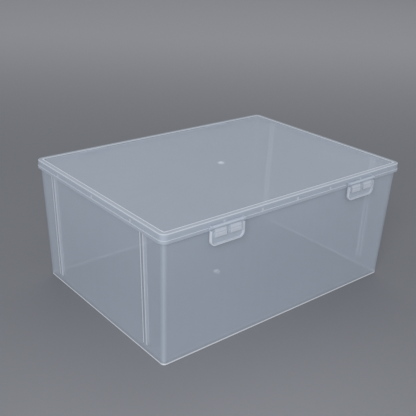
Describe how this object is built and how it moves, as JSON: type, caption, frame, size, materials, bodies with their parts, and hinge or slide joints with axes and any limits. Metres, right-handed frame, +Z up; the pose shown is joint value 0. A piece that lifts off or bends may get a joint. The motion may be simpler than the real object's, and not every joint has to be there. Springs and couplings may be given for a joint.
{
  "type": "plastic storage box",
  "caption": "Translucent rectangular storage box with drafted walls, a back-hinged lid with a raised stacking border, and snap latch flaps along its front edge.",
  "frame": {"origin": "middle of the tub's flat base, on the surface that the box stands on", "axes": "+X along the box's length to the right, +Y from the latches to the hinges, +Z up"},
  "size_m": [0.346, 0.264, 0.148],
  "materials": {
    "tub_polypropylene": "satin natural polypropylene, translucent",
    "lid_polypropylene": "satin natural polypropylene, translucent",
    "latch_polypropylene": "satin natural polypropylene, translucent",
    "pin_polypropylene": "milky natural polypropylene rod"
  },
  "bodies": {
    "tub": {"tub": "tub_polypropylene", "hinge_pin_left": "pin_polypropylene", "hinge_pin_right": "pin_polypropylene"},
    "lid": {"lid": "lid_polypropylene", "latch_pin_left": "pin_polypropylene", "latch_pin_right": "pin_polypropylene"},
    "latch_left": {"latch_flap_left": "latch_polypropylene"},
    "latch_right": {"latch_flap_right": "latch_polypropylene"}
  },
  "joints": [
    {"name": "lid_hinge", "type": "hinge", "parent": "tub", "child": "lid", "pos_m": [0, 0.129, 0.1399], "axis": [-1, 0, 0], "range_deg": [0, 110]},
    {"name": "latch_left_flip", "type": "hinge", "parent": "lid", "child": "latch_left", "pos_m": [-0.0982, -0.1271, 0.1419], "axis": [-1, 0, 0], "range_deg": [0, 160]},
    {"name": "latch_right_flip", "type": "hinge", "parent": "lid", "child": "latch_right", "pos_m": [0.0982, -0.1271, 0.1419], "axis": [-1, 0, 0], "range_deg": [0, 160]}
  ]
}
